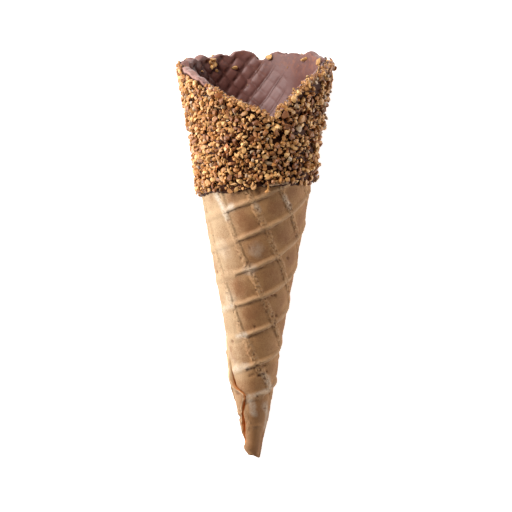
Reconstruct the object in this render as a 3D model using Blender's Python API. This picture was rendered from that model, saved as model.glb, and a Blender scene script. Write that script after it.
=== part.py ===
"""A rolled wafer cone, lined and dipped with chocolate and coated with chopped nuts, lying on its side.

The wafer is baked as a flat round sheet and rolled hot around a pointed mandrel, so its shape is worked out
on the flat sheet: the rim, the notch where the two sides of the sheet cross, and the free edge that winds
once more round the outside down to the tip all come from the one circle of that sheet.

Everything is built upright in the cone's own frame, with heights from its tip, and then laid down. The
notch faces up when it lies. Metres, +Z up, origin on the floor under the middle of the box.
"""

from math import acos, cos, pi, radians, sin, tan

import bmesh
import bpy
from mathutils import Matrix, Vector, noise

MM = 0.001

# Driving dimensions
HALF_ANGLE = radians(10.3)  # of the mandrel
SHEET_DIAMETER = 151.5 * MM  # of the flat round sheet, whose edge passes through the mandrel's point
SHEET_THICKNESS = 1.35 * MM
MANDREL_POINT = 3.8 * MM  # height at which the mandrel's sides would meet
HOLLOW_FOOT = 12.0 * MM  # the hollow ends here: below it the wafer is pinched solid
NOTCH_AZIMUTH = radians(12.0)  # the notch lies a little to the right of the front
GAP = 0.3 * MM  # between pieces that touch
LINING = 0.8 * MM  # chocolate inside
RIM_COAT = 0.7 * MM  # chocolate over the rim
DIP_COAT = 0.5 * MM  # chocolate outside, under the nuts
NUT_LAYER = 1.5 * MM
NUT_BUMP = 1.1 * MM
NUT_THINNING = 0.35  # share of their depth that the nuts lose towards the rim and the dip line
DIP_HEIGHT = 103.4 * MM  # of the line that the cone was dipped to
FLOOR_CUT = 0.6 * MM  # how far the lowest nuts are worn flat where the cone lies

# The rim where it leaves the circle of the sheet
RIM_SPREAD = 2.2 * MM  # the sides stand a little higher
CORNER_LIFT = 6.5 * MM  # the right corner stands up
NOTCH_RISE = 1.3 * MM  # the crossing at the notch was rolled a little tighter
SCALLOP = 0.35 * MM

# The free edge of the sheet near the tip: its corner is broken off, and it has sprung open
BREAK_TOP = 28.5 * MM
BREAK_FOOT = 24.5 * MM
BREAK_TURN = radians(315.0)  # the broken edge runs down from this angle
BREAK_END = radians(266.0)  # to this one at the foot of the flap
PINCH = 0.35  # share of its thickness that the rolled sheet has lost at the tip
PINCH_HEIGHT = 45.0 * MM
LAST_OVERLAP = radians(100.0)  # towards the tip the inner edge is rolled in no further round than this
FLAP_FOOT = 6.0 * MM
FLAP_SPRING = 0.4 * MM
SEAM_OPEN = 0.15 * MM
SEAM_DEPTH = 1.1 * MM

COLUMNS = 48  # shared by all pieces, so that their facets run side by side
WAFER_ROWS = 24
COAT_ROWS = 10  # of the dip and the nuts on it

TURN = 2 * pi
COAT_SHARES = [row / COAT_ROWS for row in range(COAT_ROWS + 1)]
SHEET_HALF_WRAP = pi * sin(HALF_ANGLE)  # half a turn of the cone, as an angle on the flat sheet


def smooth(low, high, value):
    """0 at low, 1 at high, and a smooth rise between them."""
    share = min(max((value - low) / (high - low), 0.0), 1.0)
    return share * share * (3 - 2 * share)


def between(a, b, share):
    return a + (b - a) * share


def rim_height(turn):
    """Height of the wafer's rim at an angle from the notch, going right."""
    turn %= TURN
    from_back = abs(turn - pi)
    circle = MANDREL_POINT + SHEET_DIAMETER * cos(from_back * sin(HALF_ANGLE)) * cos(HALF_ANGLE)
    side = smooth(radians(30), radians(95), from_back) * (1 - smooth(radians(105), radians(150), from_back))
    corner = smooth(radians(3), radians(36), turn) * (1 - smooth(radians(48), radians(105), turn))
    scallop = SCALLOP * sin(22 * turn) * smooth(0, radians(25), turn) * smooth(0, radians(25), TURN - turn)
    crossing = 1 - smooth(0, radians(40), pi - from_back)
    return circle + RIM_SPREAD * side + CORNER_LIFT * corner + NOTCH_RISE * crossing + scallop


def circle_edge(height):
    """Angle from the notch that the sheet's free edge has wound to at a height, from the sheet's circle."""
    slant = max(height - MANDREL_POINT, 0.0) / cos(HALF_ANGLE)
    return max(acos(min(slant / SHEET_DIAMETER, 1.0)) - SHEET_HALF_WRAP, 0.0) / sin(HALF_ANGLE)


def free_edge(height):
    """The same with the broken corner near the tip."""
    wound = circle_edge(height)
    down = min(max((BREAK_FOOT - height) / (BREAK_FOOT - FLAP_FOOT), 0.0), 1.0)
    broken = between(BREAK_TURN, BREAK_END, down) + radians(3) * sin(height / (1.6 * MM))
    return between(broken, wound, smooth(BREAK_FOOT, BREAK_TOP, height))


def inner_overlap(turn, height):
    """1 where the sheet's other, inner edge lies underneath, with the outer sheet draped over its step."""
    start = max(TURN - circle_edge(height), LAST_OVERLAP)
    return smooth(start - radians(40), start, turn)


def wall(turn, height, wound_over):
    """Thickness of all the layers on the mandrel. wound_over is 1 on the part that winds over the rest."""
    pinched = 1 - PINCH * (1 - smooth(0, PINCH_HEIGHT, height))
    return (1 + wound_over + inner_overlap(turn, height)) * SHEET_THICKNESS * pinched


def spring(height):
    """How far the free edge stands off the layer under it."""
    open_part = smooth(FLAP_FOOT, FLAP_FOOT + 4 * MM, height) * (1 - smooth(30 * MM, 44 * MM, height))
    return SEAM_OPEN + FLAP_SPRING * open_part


def at(turn, height, depth):
    """A point of the upright cone: depth is measured from the mandrel's surface, outwards."""
    radius = (height - MANDREL_POINT) * tan(HALF_ANGLE) + depth / cos(HALF_ANGLE)
    azimuth = turn + NOTCH_AZIMUTH
    return Vector((radius * sin(azimuth), -radius * cos(azimuth), height))


def tip_end(turn):
    """Height of the uneven lower end of the wafer."""
    azimuth = turn + NOTCH_AZIMUTH
    return (0.9 - 0.7 * sin(azimuth) + 0.35 * sin(3 * azimuth + 1)) * MM


def wafer_ring(row_share):
    """One ring of the wafer's outside: round from the free edge to itself, and back in under it."""
    ring = []
    for column in range(COLUMNS + 1):
        share = column / COLUMNS
        low = tip_end(TURN * share + BREAK_TURN)
        height = between(low, rim_height(TURN * share), row_share)
        # columns swing round with the broken corner only close to it
        away = smooth(0, 0.3, share) * (1 - smooth(0.7, 1.0, share))
        wound = between(free_edge(height), circle_edge(height), away) + TURN * share
        over = 1 if wound >= TURN else 0
        depth = wall(wound - TURN * over, height, over)
        near_edge = smooth(0.7, 1.0, share)
        depth += near_edge * spring(height)
        # the wound-over layer stops short of the tip
        if over:
            depth -= SHEET_THICKNESS * near_edge * (1 - smooth(FLAP_FOOT - 2.5 * MM, FLAP_FOOT, height))
        ring.append(at(wound, height, depth))
    height = ring[0].z
    edge = free_edge(height)
    base = wall(edge, height, 0)
    radius = max(Vector(ring[0].xy).length, 1 * MM)
    ring.append(at(edge, height, base + spring(height)))
    ring.append(at(edge - SEAM_DEPTH / radius, height, base - 0.5 * SEAM_OPEN))
    return ring


def add_ring(mesh, points):
    return [mesh.verts.new(point) for point in points]


def join_rings(mesh, lower, upper):
    """A band of faces between two closed rings with as many points."""
    for i in range(len(lower)):
        j = (i + 1) % len(lower)
        mesh.faces.new((lower[i], lower[j], upper[j], upper[i]))


def join_to_point(mesh, ring, point):
    """A fan of faces from a closed ring to one point."""
    for i in range(len(ring)):
        mesh.faces.new((ring[i], ring[(i + 1) % len(ring)], point))


def finished(mesh, name, material):
    """The bmesh as a named object with outward faces, shaded smooth but for its sharp edges."""
    bmesh.ops.triangulate(mesh, faces=mesh.faces[:])
    bmesh.ops.recalc_face_normals(mesh, faces=mesh.faces[:])
    data = bpy.data.meshes.new(name)
    mesh.to_mesh(data)
    mesh.free()
    data.materials.append(material)
    data.shade_smooth()
    data.set_sharp_from_angle(angle=radians(45))
    made = bpy.data.objects.new(name, data)
    bpy.context.scene.collection.objects.link(made)
    return made


def food_material(name, colour, roughness):
    material = bpy.data.materials.new(name)
    material.use_nodes = True
    shader = material.node_tree.nodes["Principled BSDF"]
    shader.inputs["Base Color"].default_value = (*colour, 1.0)
    shader.inputs["Roughness"].default_value = roughness
    shader.inputs["Metallic"].default_value = 0.0
    return material


def make_wafer():
    """The rolled sheet, closed at the tip, with its free edge standing on the layer below."""
    mesh = bmesh.new()
    rows = [(i / WAFER_ROWS) ** 1.5 for i in range(WAFER_ROWS + 1)]
    outside = [add_ring(mesh, wafer_ring(row)) for row in rows]
    for lower, upper in zip(outside, outside[1:]):
        join_rings(mesh, lower, upper)
    tip_middle = mesh.verts.new((0, 0, 1.4 * MM))
    join_to_point(mesh, outside[0], tip_middle)

    hollow_point = mesh.verts.new((0, 0, HOLLOW_FOOT - 1 * MM))
    turns = [TURN * column / COLUMNS for column in range(COLUMNS)]
    inside = []
    for row in rows[:1] + rows[5:]:
        inside.append(add_ring(mesh, [at(t, between(HOLLOW_FOOT, rim_height(t), row), 0) for t in turns]))
    join_to_point(mesh, inside[0], hollow_point)
    for lower, upper in zip(inside, inside[1:]):
        join_rings(mesh, lower, upper)

    # the rim: across the sheet's thickness, and across the crossing of the layers at the notch
    outer, inner = outside[-1], inside[-1]
    for i in range(COLUMNS):
        mesh.faces.new((outer[i], outer[i + 1], inner[(i + 1) % COLUMNS], inner[i]))
    mesh.faces.new((outer[COLUMNS], *outer[COLUMNS + 1 :], outer[0], inner[0]))
    return finished(mesh, "wafer_cone", food_material("baked_wafer", (0.62, 0.38, 0.19), 0.7))


def covered_depth(turn, height):
    """Depth of the wafer's outside under the dip, with the free edge's step drawn out by the chocolate."""
    edge = circle_edge(height)
    over = 1 - smooth(edge + radians(4), edge + radians(34), turn)
    return wall(turn, height, over) + SEAM_OPEN


def dip_line(turn):
    azimuth = turn + NOTCH_AZIMUTH
    wave = 0.4 * sin(5 * azimuth) + 0.3 * sin(9 * azimuth + 2)
    return DIP_HEIGHT + (2.6 * sin(azimuth) + 1.0 * cos(azimuth) + wave) * MM


def make_chocolate():
    """One skin of chocolate: down the inside to a plug at the tip, over the rim, and outside to the dip line."""
    mesh = bmesh.new()
    turns = [TURN * column / COLUMNS for column in range(COLUMNS)]
    plug_foot = HOLLOW_FOOT + 1.5 * MM
    plug_top = plug_foot + 4 * MM
    rim_gap = GAP / cos(radians(52))  # upwards, so that it holds across the notch's steepest side

    def section(turn):
        """Points of the skin's outline at one angle: (height, depth), from the bare inside to the wafer."""
        rim = rim_height(turn)
        foot = dip_line(turn)
        outline = []
        for share in (0.01, 0.15, 0.3, 0.45, 0.6, 0.75, 0.88):
            outline.append((between(plug_top, rim, share), -GAP - LINING))
        outline.append((rim + 0.6 * RIM_COAT, -GAP - LINING))
        outline.append((rim + rim_gap + RIM_COAT, -0.3 * LINING))
        top = covered_depth(turn, rim)
        outline.append((rim + rim_gap + RIM_COAT, top))
        for share in reversed(COAT_SHARES):
            height = between(foot, rim, share)
            outline.append((height, covered_depth(turn, height) + GAP + DIP_COAT))
        for share in COAT_SHARES[:-1:2]:
            height = between(foot, rim, share)
            outline.append((height, covered_depth(turn, height) + GAP))
        outline.append((rim + rim_gap, top + GAP))
        outline.append((rim + rim_gap, -GAP))
        for share in (0.75, 0.45, 0.2, 0.0):
            outline.append((between(plug_foot, rim, share), -GAP))
        return outline

    sections = [section(turn) for turn in turns]
    rings = []
    for point in range(len(sections[0])):
        rings.append(add_ring(mesh, [at(t, *sections[i][point]) for i, t in enumerate(turns)]))
    join_to_point(mesh, rings[0], mesh.verts.new((0, 0, plug_top)))
    for lower, upper in zip(rings, rings[1:]):
        join_rings(mesh, lower, upper)
    join_to_point(mesh, rings[-1], mesh.verts.new((0, 0, plug_foot)))
    return finished(mesh, "chocolate_coating", food_material("milk_chocolate", (0.17, 0.075, 0.055), 0.4))


def make_nuts():
    """The bed of chopped nuts pressed into the outside of the dip, out to its uneven outline."""
    mesh = bmesh.new()
    turns = [TURN * column / COLUMNS for column in range(COLUMNS)]

    def section(turn, column):
        rim = rim_height(turn)
        foot = dip_line(turn)
        heights = [between(foot, rim, share) for share in COAT_SHARES]
        bed = [(height, covered_depth(turn, height) + 2 * GAP + DIP_COAT) for height in heights]
        outline = []
        for row, (height, depth) in enumerate(bed):
            share = COAT_SHARES[row]
            thin_end = max(smooth(0.75, 1.0, share), 1 - smooth(0, 0.15, share))
            thick = NUT_LAYER * (1 - NUT_THINNING * thin_end)
            lump = NUT_BUMP * noise.noise(Vector((3.1 * column, 2.7 * row, 0.5)))
            outline.append((height, depth + thick + lump))
        return outline + bed[::-1]

    sections = [section(turn, column) for column, turn in enumerate(turns)]
    rings = []
    for point in range(len(sections[0])):
        rings.append(add_ring(mesh, [at(t, *sections[i][point]) for i, t in enumerate(turns)]))
    for lower, upper in zip(rings, rings[1:] + rings[:1]):
        join_rings(mesh, lower, upper)
    return finished(mesh, "chopped_nuts", food_material("roasted_nuts", (0.5, 0.27, 0.1), 0.6))


def lay_down(pieces):
    """Turns the upright pieces so that the back of the cone lies along +Y on the floor, and centres them."""
    lying = Matrix.Rotation(HALF_ANGLE - pi / 2, 4, "X")
    for piece in pieces:
        piece.data.transform(lying)
    points = [vertex.co for piece in pieces for vertex in piece.data.vertices]
    floor = min(point.z for point in points) + FLOOR_CUT
    middle = [(min(p[axis] for p in points) + max(p[axis] for p in points)) / 2 for axis in (0, 1)]
    for piece in pieces:
        piece.data.transform(Matrix.Translation((-middle[0], -middle[1], -floor)))
        for vertex in piece.data.vertices:
            vertex.co.z = max(vertex.co.z, 0.0)
        piece.data.update()


def main():
    for old in list(bpy.data.objects):
        bpy.data.objects.remove(old)
    lay_down([make_wafer(), make_chocolate(), make_nuts()])


main()
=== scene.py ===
# %% [markdown]
# # A dipped wafer cone, lying on a pale floor
#
# The object is a rolled wafer cone with nothing in it yet. The wafer was baked flat between two irons and rolled
# hot round a pointed mandrel. Then it was lined with chocolate, dipped upside down, and rolled in chopped nuts.
#
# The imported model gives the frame: three plain solids, `wafer_cone`, `chocolate_coating` and `chopped_nuts`. This
# script makes a finely shaped piece for each of them. It first repeats the laws of the rolled sheet, because every
# rib, groove and nut has its place on that sheet.

# %% Load the frame
from math import cos, pi, radians, sin, tan

import bmesh
import bpy
import numpy as np
from mathutils import Matrix, Vector


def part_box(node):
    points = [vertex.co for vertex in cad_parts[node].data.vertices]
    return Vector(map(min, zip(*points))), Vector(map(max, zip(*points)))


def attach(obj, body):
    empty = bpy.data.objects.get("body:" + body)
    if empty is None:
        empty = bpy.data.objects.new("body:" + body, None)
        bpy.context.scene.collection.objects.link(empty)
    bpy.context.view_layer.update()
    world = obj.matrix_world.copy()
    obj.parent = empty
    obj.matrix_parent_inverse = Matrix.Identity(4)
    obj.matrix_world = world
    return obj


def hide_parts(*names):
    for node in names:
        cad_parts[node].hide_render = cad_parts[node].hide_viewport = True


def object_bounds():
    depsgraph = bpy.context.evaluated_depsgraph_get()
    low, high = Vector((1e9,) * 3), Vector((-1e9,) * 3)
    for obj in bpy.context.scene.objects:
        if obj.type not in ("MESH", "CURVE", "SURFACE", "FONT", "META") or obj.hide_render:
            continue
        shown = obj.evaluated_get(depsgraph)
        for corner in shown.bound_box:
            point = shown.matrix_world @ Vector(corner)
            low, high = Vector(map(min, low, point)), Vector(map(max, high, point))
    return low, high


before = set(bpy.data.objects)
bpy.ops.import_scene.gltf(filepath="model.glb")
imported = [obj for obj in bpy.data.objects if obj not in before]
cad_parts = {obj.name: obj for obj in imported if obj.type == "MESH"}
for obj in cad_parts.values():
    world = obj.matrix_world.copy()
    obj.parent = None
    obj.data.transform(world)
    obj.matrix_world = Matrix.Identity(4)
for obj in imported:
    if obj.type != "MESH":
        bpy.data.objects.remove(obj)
cad_low, cad_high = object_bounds()

# %% [markdown]
# ## The rolled sheet
#
# A cone can be modelled as a turned profile, but a rolled one isn't round: its wall is one sheet thick at the back
# and two or three where it laps over itself, and its rim and its free edge come from the same flat circle. So all
# shapes here are functions of an angle and a height, worked out for whole arrays of points at once with numpy.
#
# `turn` is the angle from the notch in the rim, going right. `wound` is the same angle along the sheet, which
# goes past a full turn where the sheet laps over itself. `height` is measured from the tip.

# %% Sizes of the wafer
MM = 0.001
TURN = 2 * pi
HALF_ANGLE = radians(10.3)  # of the mandrel
SHEET_DIAMETER = 151.5 * MM
SHEET_THICKNESS = 1.35 * MM
MANDREL_POINT = 3.8 * MM  # height of the mandrel's own tip
HOLLOW_FOOT = 12.0 * MM  # the wafer is solid below this
NOTCH_AZIMUTH = radians(12.0)
SHEET_HALF_WRAP = pi * sin(HALF_ANGLE)

RIM_SPREAD = 2.2 * MM
CORNER_LIFT = 6.5 * MM
NOTCH_RISE = 1.3 * MM
SCALLOP = 0.35 * MM

BREAK_TOP = 28.5 * MM  # the corner of the free edge is broken off near the tip
BREAK_FOOT = 24.5 * MM
BREAK_TURN = radians(315.0)
BREAK_END = radians(266.0)
PINCH = 0.35  # share of its thickness that the rolled sheet has lost at the tip
PINCH_HEIGHT = 45.0 * MM
LAST_OVERLAP = radians(100.0)
FLAP_FOOT = 6.0 * MM
FLAP_SPRING = 0.4 * MM
SEAM_OPEN = 0.15 * MM


def smooth(low, high, value):
    """0 at low, 1 at high, and a smooth rise between them."""
    share = np.clip((value - low) / (high - low), 0.0, 1.0)
    return share * share * (3 - 2 * share)


def between(a, b, share):
    return a + (b - a) * share


def rim_height(turn):
    turn = turn % TURN
    from_back = np.abs(turn - pi)
    circle = MANDREL_POINT + SHEET_DIAMETER * np.cos(from_back * sin(HALF_ANGLE)) * cos(HALF_ANGLE)
    side = smooth(radians(30), radians(95), from_back) * (1 - smooth(radians(105), radians(150), from_back))
    corner = smooth(radians(3), radians(36), turn) * (1 - smooth(radians(48), radians(105), turn))
    crossing = 1 - smooth(0, radians(40), pi - from_back)
    scallop = SCALLOP * np.sin(22 * turn) * smooth(0, radians(25), turn) * smooth(0, radians(25), TURN - turn)
    return circle + RIM_SPREAD * side + CORNER_LIFT * corner + NOTCH_RISE * crossing + scallop


def circle_edge(height):
    """How far the sheet's free edge has wound at a height."""
    slant = np.maximum(height - MANDREL_POINT, 0.0) / cos(HALF_ANGLE)
    half_arc = np.arccos(np.minimum(slant / SHEET_DIAMETER, 1.0))
    return np.maximum(half_arc - SHEET_HALF_WRAP, 0.0) / sin(HALF_ANGLE)


def free_edge(height):
    """The same with the broken corner near the tip."""
    down = np.clip((BREAK_FOOT - height) / (BREAK_FOOT - FLAP_FOOT), 0.0, 1.0)
    broken = between(BREAK_TURN, BREAK_END, down) + radians(3) * np.sin(height / (1.6 * MM))
    return between(broken, circle_edge(height), smooth(BREAK_FOOT, BREAK_TOP, height))


def pinched_sheet(height):
    """Thickness of one layer."""
    return SHEET_THICKNESS * (1 - PINCH * (1 - smooth(0, PINCH_HEIGHT, height)))


def wall(turn, height, wound_over):
    """Thickness of all the layers on the mandrel. wound_over is 1 where the sheet laps over the rest."""
    start = np.maximum(TURN - circle_edge(height), LAST_OVERLAP)
    lapped_under = smooth(start - radians(40), start, turn)
    return (1 + wound_over + lapped_under) * pinched_sheet(height)


def spring(height):
    """How far the free edge stands off the layer under it."""
    opened = smooth(FLAP_FOOT, FLAP_FOOT + 4 * MM, height) * (1 - smooth(30 * MM, 44 * MM, height))
    return SEAM_OPEN + FLAP_SPRING * opened


def covered_depth(turn, height):
    """Depth of the wafer's outside under the dip, with the free edge's step drawn out by the chocolate."""
    edge = circle_edge(height)
    wound_over = 1 - smooth(edge + radians(4), edge + radians(34), turn)
    return wall(turn, height, wound_over) + SEAM_OPEN


print("rim at the back", round(float(rim_height(pi)) / MM, 1), "mm, at the notch", round(float(rim_height(0)) / MM, 1))

# %% [markdown]
# ## From the upright cone to the frame
#
# The laws speak of an upright cone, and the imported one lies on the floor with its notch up. Both have the same
# tilt, so only the shift between them is missing. It could be typed in, but then it would be wrong as soon as the
# solids change. Here the outline of the bare wafer is worked out from the laws, laid down, and its box is held
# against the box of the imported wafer.


# %% Lay the cone down
def at(turn, height, depth):
    """Points of the upright cone. depth is measured from the mandrel's surface, outwards."""
    radius = (height - MANDREL_POINT) * tan(HALF_ANGLE) + depth / cos(HALF_ANGLE)
    azimuth = turn + NOTCH_AZIMUTH
    return np.stack(np.broadcast_arrays(radius * np.sin(azimuth), -radius * np.cos(azimuth), height), axis=-1)


def tip_end(turn):
    """Height of the uneven lower end of the wafer."""
    azimuth = turn + NOTCH_AZIMUTH
    return (0.9 - 0.7 * np.sin(azimuth) + 0.35 * np.sin(3 * azimuth + 1)) * MM


def wafer_places(columns, row_shares, rim_drop=0.0):
    """Angles and heights of the wafer's outside: rows up the cone, columns round it from the free edge to itself."""
    share = np.linspace(0, 1, columns + 1)
    low = tip_end(TURN * share + BREAK_TURN)
    height = between(low, rim_height(TURN * share) - rim_drop, np.asarray(row_shares)[:, None])
    away = smooth(0, 0.3, share) * (1 - smooth(0.7, 1.0, share))
    wound = between(free_edge(height), circle_edge(height), away) + TURN * share
    return share, wound, height


def wafer_depth(share, wound, height):
    over = wound >= TURN
    near_edge = smooth(0.7, 1.0, share)
    stop = SHEET_THICKNESS * near_edge * (1 - smooth(FLAP_FOOT - 2.5 * MM, FLAP_FOOT, height))
    return wall(wound - TURN * over, height, over) + near_edge * spring(height) - over * stop


LYING = np.array(Matrix.Rotation(HALF_ANGLE - pi / 2, 3, "X"))
CAD_COLUMNS = 48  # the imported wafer's own facets, so that the two boxes agree exactly
outline_share, outline_wound, outline_height = wafer_places(CAD_COLUMNS, (0, 1))
outline_depth = wafer_depth(outline_share, outline_wound, outline_height)
outline = at(outline_wound, outline_height, outline_depth).reshape(-1, 3) @ LYING.T
wafer_low, wafer_high = (np.array(corner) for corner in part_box("wafer_cone"))
shift = (wafer_low + wafer_high - outline.min(axis=0) - outline.max(axis=0)) / 2
shift[2] = wafer_high[2] - outline[:, 2].max()


def lay(points):
    """Upright points in the frame. What would reach below the floor is worn flat there."""
    placed = np.asarray(points) @ LYING.T + shift
    placed[..., 2] = np.maximum(placed[..., 2], 0.0)
    return placed


spread = (wafer_high - wafer_low - np.ptp(outline, axis=0))[:2] / MM
print("shift", (shift / MM).round(2), "mm; the boxes differ by", spread.round(3), "mm")

# %% [markdown]
# ## Unevenness that is the same each run
#
# Nothing baked is even. Random numbers drawn in a row would change everywhere as soon as one more is drawn, so
# these come from the place itself: `dice` turns whole numbers into a number from 0 to 1, `lumps` smooths it into
# noise, and `spots` scatters round pits or bubbles, at most one in each little square.


# %% Dice, lumps and spots
def dice(*whole, seed=0):
    """A random number from 0 to 1 for each place, given as whole numbers."""
    code = np.int64(seed * 7919 + 17)
    for number in whole:
        code = (code ^ (number.astype(np.int64) + 40961)) * 668265263 % 2147483647
        code = code ^ (code >> 13)
    return (code * 1274126177 % 2147483647) / 2147483647


def lumps(places, size, seed=0):
    """Smooth noise from -1 to 1, for an array of places with any number of axes."""
    low = np.floor(places / size)
    share = smooth(0, 1, places / size - low)
    total = 0.0
    for corner in np.ndindex((2,) * places.shape[-1]):
        weight = np.prod(np.where(corner, share, 1 - share), axis=-1)
        total = total + weight * dice(*np.moveaxis(low + corner, -1, 0), seed=seed)
    return 2 * total - 1


def spots(places, size, seed, how_many):
    """1 in the middle of a spot and 0 outside. how_many is the share of the squares of that size that hold one."""
    square = np.floor(places / size)
    deepest = np.zeros(places.shape[:-1])
    for step in np.ndindex(3, 3):
        home = np.moveaxis(square + step - 1, -1, 0)
        middle = np.stack([home[0] + dice(*home, seed=seed), home[1] + dice(*home, seed=seed + 1)], axis=-1)
        radius = between(0.16, 0.45, dice(*home, seed=seed + 2) ** 2)
        away = np.linalg.norm(places / size - middle, axis=-1)
        here = dice(*home, seed=seed + 3) < how_many
        deepest = np.maximum(deepest, here * (1 - smooth(0.35 * radius, radius, away)))
    return deepest


sample = lumps(np.random.default_rng(1).random((1000, 3)), 0.05)
print("lumps run from", sample.min().round(2), "to", sample.max().round(2))

# %% [markdown]
# ## Meshes from rings of points
#
# The wafer and the chocolate are both skins that run in closed rings from one pole to another. Making their faces
# one by one is slow in Python, so the points and the corner numbers are filled in as whole arrays.


# %% Skins through rings
def add_mesh(name, points, faces):
    """An object from an array of points and arrays of faces, where all faces of an array have as many corners."""
    corners = np.concatenate([part.ravel() for part in faces])
    counts = np.concatenate([np.full(len(part), part.shape[1]) for part in faces])
    data = bpy.data.meshes.new(name)
    data.vertices.add(len(points))
    data.vertices.foreach_set("co", np.asarray(points, np.float32).ravel())
    data.loops.add(len(corners))
    data.loops.foreach_set("vertex_index", corners.astype(np.int32))
    data.polygons.add(len(counts))
    data.polygons.foreach_set("loop_start", np.concatenate(([0], np.cumsum(counts)[:-1])).astype(np.int32))
    data.update(calc_edges=True)
    data.validate()
    data.shade_smooth()
    made = bpy.data.objects.new(name, data)
    bpy.context.scene.collection.objects.link(made)
    return made


def skin(name, rings, foot, top):
    """A closed skin through rings of upright points, from the point foot to the point top, laid in the frame."""
    rows, columns, _ = rings.shape
    points = np.concatenate([rings.reshape(-1, 3), [foot, top]])
    number = np.arange(rows * columns).reshape(rows, columns)
    right = np.roll(number, -1, axis=1)
    quads = np.stack([number[:-1], right[:-1], right[1:], number[1:]], axis=-1).reshape(-1, 4)
    foot_fan = np.stack([np.full(columns, rows * columns), right[0], number[0]], axis=-1)
    top_fan = np.stack([np.full(columns, rows * columns + 1), number[-1], right[-1]], axis=-1)
    return add_mesh(name, lay(points), [quads, foot_fan, top_fan])


def paint(piece, **values):
    """Numbers stored at each point, for the finish to read."""
    for name, value in values.items():
        padded = np.zeros(len(piece.data.vertices), np.float32)
        flat = np.ravel(value)
        padded[: len(flat)] = flat
        piece.data.attributes.new(name, "FLOAT", "POINT").data.foreach_set("value", padded)


print("a skin of 3 rings of 4 points would have", 3 * 4 + 2, "points and", 2 * 4, "quads")

# %% [markdown]
# ## The wafer's relief
#
# The iron leaves raised ribs on the outside, in a grid that is straight on the flat sheet. So the ribs are drawn
# there: each point of the cone is unrolled to its place on the sheet, and its distance to the nearest line of the
# grid gives the height of the rib. Rolling then bends the lines by itself, also where the sheet laps over. The
# batter has flowed unevenly: one set of ribs is whole, the other rough and full of burst bubbles.

# %% Sizes of the baked grid
RIB_STEEP = radians(26.9)  # direction of the whole ribs on the sheet, up from its width
RIB_PITCH = 11.5 * MM
CROSS_STEEP = radians(110.5)  # direction of the rough ribs
CROSS_PITCH = 10.45 * MM
GRID_CROSSING = np.array((-1.9, 70.75)) * MM  # one crossing, measured from the sheet's point at the tip
RIB_ABOVE = 1.6 * MM  # a whole rib slopes down gently on its upper side
RIB_BELOW = 0.75 * MM  # and steeply on its lower side
RIB_HEIGHT = 0.95 * MM
RIB_STARTS = ((-3, -2, -1, 0, 1, 2), (1.3, 0.88, 0.87, 0.45, 0.0, 0.05))  # rib, and the rough line it starts at
ROUGH_HALF_WIDTH = 1.05 * MM
ROUGH_HEIGHT = 0.5 * MM
CELL_BULGE = 0.24 * MM
DENTS = (  # azimuth and height of the middle; half length round the cone, half height and depth, in mm
    (14.0, 32.1, 0.8, 0.5, 0.5), (-3.0, 32.4, 0.9, 0.4, 0.3), (-12.0, 32.0, 0.4, 0.3, 0.3), (8.0, 33.4, 0.5, 0.4, 0.3),
    (11.0, 23.9, 0.45, 0.35, 0.4), (-19.0, 77.6, 0.4, 0.7, 0.5), (42.0, 97.5, 0.5, 0.8, 0.5), (-6.0, 81.6, 0.3, 0.8, 0.3),
    (31.0, 63.2, 1.6, 0.35, 0.5), (22.0, 11.2, 1.6, 0.3, 0.2), (12.0, 12.6, 1.8, 0.6, -0.25), (20.0, 15.0, 1.3, 0.3, 0.15),
    (24.0, 35.9, 1.1, 0.35, 0.35),
)
FLOUR = (  # azimuth and height of both ends of a dusty streak; its half width in mm; how thick the dust lies
    (-46.0, 101.8, -36.0, 95.5, 0.9, 1.0), (-36.0, 95.5, -25.0, 97.3, 0.9, 0.75), (-35.5, 95.5, -35.0, 92.5, 0.9, 0.8),
    (-50.0, 81.2, -46.0, 80.2, 2.4, 0.3), (0.0, 81.0, 1.5, 80.4, 1.8, 0.35), (-10.0, 73.3, -5.0, 73.2, 1.4, 0.5),
    (-80.0, 56.3, -40.0, 59.0, 0.8, 0.7), (-48.0, 61.7, -45.0, 61.0, 1.9, 0.4), (-37.0, 47.4, -17.0, 48.0, 0.7, 0.8),
    (-75.0, 33.8, -19.0, 35.6, 1.1, 0.6), (-88.0, 40.3, -53.0, 37.1, 1.1, 0.15), (22.0, 33.1, 41.0, 31.1, 0.7, 0.4),
    (41.0, 31.1, 62.0, 27.7, 1.0, 0.55), (59.0, 27.1, -15.0, 23.9, 0.7, 0.55), (-17.0, 23.9, -8.0, 19.4, 1.0, 0.55),
    (-8.0, 19.4, 0.0, 17.2, 0.8, 0.5), (46.0, 20.9, 83.0, 15.2, 1.0, 0.5), (83.0, 15.2, 83.0, 11.4, 0.8, 0.5),
    (32.0, 101.5, 42.0, 96.8, 0.7, 0.6), (0.0, 98.5, 4.0, 96.5, 0.8, 0.4), (150.0, 92.0, 165.0, 88.0, 1.2, 0.7),
    (-140.0, 70.0, -125.0, 73.0, 1.4, 0.6), (170.0, 55.0, 176.0, 50.0, 1.2, 0.7), (120.0, 45.0, 140.0, 41.0, 1.0, 0.7),
)


def on_sheet(wound, height):
    """Where points lay on the flat sheet, which is turned so that the front of the cone runs up its y axis."""
    slant = np.maximum(height - MANDREL_POINT, 0) / cos(HALF_ANGLE)
    bearing = (wound - (TURN - NOTCH_AZIMUTH)) * sin(HALF_ANGLE)
    return np.stack([slant * np.sin(bearing), slant * np.cos(bearing)], axis=-1)


def line_number(place, steep, pitch, crossing):
    """How many pitches a place lies across from the line through the crossing."""
    across = (place - crossing) @ np.array((-sin(steep), cos(steep)))
    return across / pitch


def off_line(number, pitch):
    """Distance to the nearest line, less than 0 on its lower side."""
    return (number - np.round(number)) * pitch


def dome(off, half_width):
    """A rounded ridge's height at a distance off its middle, 1 on top."""
    return np.sqrt(np.clip(1 - (off / half_width) ** 2, 0, 1))


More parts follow.
